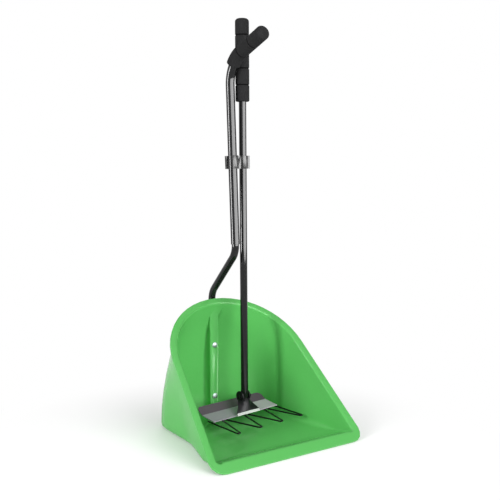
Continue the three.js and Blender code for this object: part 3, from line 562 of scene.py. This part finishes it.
def foam_outline(bore, segment, segments):
    length = segment * segments
    mouth_edge, crown_edge = FOAM_RADIUS - MOUTH, FOAM_RADIUS - CROWN
    outline = [(bore, MOUTH_RISE), (bore + MOUTH_STEP, 0.0), (mouth_edge, 0.0)]
    outline += [(mouth_edge + MOUTH * sin(k * pi / 8), MOUTH - MOUTH * cos(k * pi / 8))
                for k in range(1, 5)]
    for joint in range(1, segments + 1):
        start = outline[-1][1]
        level = segment * joint
        end = level - GROOVE_HALF if joint < segments else length - CROWN
        fills = int((end - start) / FOAM_SPACING)
        outline += [(FOAM_RADIUS, start + (end - start) * k / fills) for k in range(1, fills)]
        if joint < segments:
            outline += [(FOAM_RADIUS - GROOVE_DEPTH * sin(pi * k / 8) ** 1.5,
                         level - GROOVE_HALF * cos(pi * k / 8)) for k in range(9)]
    outline += [(crown_edge + CROWN * cos(k * pi / 16), length - CROWN + CROWN * sin(k * pi / 16))
                for k in range(9)]
    return outline + [(CROWN_FLAT, length), (0.0, length)]


def foam_sleeve(name, route, bore, segment, segments, body, node):
    length = segment * segments
    shape = bmesh.new()
    corners = [shape.verts.new((across, 0, along))
               for across, along in foam_outline(bore, segment, segments)]
    for first, second in zip(corners, corners[1:]):
        shape.edges.new((first, second))
    bmesh.ops.spin(shape, geom=shape.verts[:] + shape.edges[:], cent=(0, 0, 0), axis=(0, 0, 1),
                   angle=2 * pi, steps=FOAM_TURNS, use_merge=True)
    bmesh.ops.remove_doubles(shape, verts=shape.verts, dist=MERGE_DISTANCE)
    depth = length - grip_end_wall
    edges = [edge for edge in shape.edges if edge.is_boundary]
    for _ in range(BORE_ROWS):
        made = bmesh.ops.extrude_edge_only(shape, edges=edges)["geom"]
        inner = [item for item in made if isinstance(item, bmesh.types.BMVert)]
        bmesh.ops.translate(shape, verts=inner, vec=(0, 0, depth / BORE_ROWS))
        edges = [item for item in made
                 if isinstance(item, bmesh.types.BMEdge) and item.is_boundary]
    bmesh.ops.holes_fill(shape, edges=edges, sides=0)
    bmesh.ops.recalc_face_normals(shape, faces=shape.faces)
    # The groove value is how deep a point lies in a groove; the foam's painted shade reads it.
    groove = shape.verts.layers.float.new("groove")
    for corner in shape.verts:
        out = corner.co.xy.length
        grooved = GROOVES_FROM < corner.co.z < length - GROOVES_TO and out > FOAM_RADIUS - SKIN
        corner[groove] = (FOAM_RADIUS - out) / GROOVE_DEPTH if grooved else 0.0
        at, along, across = route(corner.co.z)
        corner.co = at + across * corner.co.x + along.cross(across) * corner.co.y
    add_object(name, shape, foam_black, body, [node])


def over_top_bend(distance):
    across = Vector((1, 0, 0))
    before = mouth_reach + distance
    swing = min(before / top_bend, top_turn)
    bend_start = top_corner - handle_way * top_reach
    inward = across.cross(handle_way)
    if inward.dot(grip_way) < 0:
        inward.negate()
    along = handle_way * cos(swing) + inward * sin(swing)
    at = bend_start + inward * top_bend * (1 - cos(swing)) + handle_way * top_bend * sin(swing)
    return at + along * (before - top_bend * swing), along, across


rake_grip_top = 0.87745
rake_grip_segment, rake_grip_segments = 0.0345, 5


def up_the_rake(distance):
    mouth = rake_at(rake_grip_top) - rake_way * rake_grip_segment * rake_grip_segments
    return mouth + rake_way * distance, rake_way, rake_across


foam_sleeve("handle_foam", over_top_bend, 0.0098, grip_segment, grip_segments,
            "scoop", "handle_grip")
foam_sleeve("rake_foam", up_the_rake, 0.0083, rake_grip_segment, rake_grip_segments,
            "rake", "rake_grip")

# %% [markdown]
# The remaining pieces keep the frame's own forms. Pressed and moulded pieces get rounded
# edges: a spring clip of thick plastic, the folded plate and its black shoe. The pan's
# hardware is zinc plated, its grey tinted green as a painted reflection of the pan, and the
# shoe's is black, both with a finer round. The plate's paint carries painted light that makes
# it lighter to its right and painted shade that darkens it behind its fold, and the edge of
# the shoe's lip carries a painted highlight.

# %% Clip, rake head and hardware
head_centre = Vector((0.0289, 0.0342, 0.0266))
head_forward = rake_across.cross(rake_way)
lip_way = (head_forward - rake_way).normalized()
# Painted light: the plate is tinted lighter towards its right.
plate_right_painted_light = mask_along(plate_paint, head_centre, rake_across, none=0.0, full=0.07)
tint(plate_paint, (0.44, 0.4, 0.45), plate_right_painted_light)
# Painted shade: the plate's strip behind its fold is tinted dark.
plate_back_painted_shade = mask_along(plate_paint, head_centre, -head_forward, none=0.0333, full=0.0341)
tint(plate_paint, (0.085, 0.06, 0.084), plate_back_painted_shade)
# Painted highlight: a pale line along the front edge of the shoe's lip.
lip_painted_highlight = mask_along(shoe_black, head_centre, lip_way, none=0.0046, full=0.0052)
tint(shoe_black, (0.6, 0.6, 0.6), lip_painted_highlight)


def dressed(node, name, material, body, width, limit=SMOOTH_LIMIT):
    piece = add_object(name, merged_shape(node), material, body, [node], limit)
    soften(piece, width, limit)


dressed("storage_clip", "spring_clip", clip_black, "clip", 0.0004)
dressed("rake_head_plate", "folded_plate", plate_paint, "rake", 0.0003,
        limit=radians(10))
dressed("rake_shoe", "pressed_shoe", shoe_black, "rake", 0.0004)
dressed("rake_tines", "tine_wire", wire_black, "rake", 0.0001)
dressed("lower_tube_plug", "foot_plug", plug_black, "scoop", 0.0004)
for node in ("pan_bolt_lower", "pan_bolt_upper", "pan_washer_lower", "pan_washer_upper",
             "pan_nut_lower", "pan_nut_upper", "tube_joint_screw"):
    dressed(node, node + "_zinc", bolt_zinc_painted_reflection, "scoop", 0.0002)
for node in ("shoe_bolt", "shoe_nut", "shoe_rivet_left", "shoe_rivet_right"):
    dressed(node, node + "_painted", shoe_black, "rake", 0.0002)
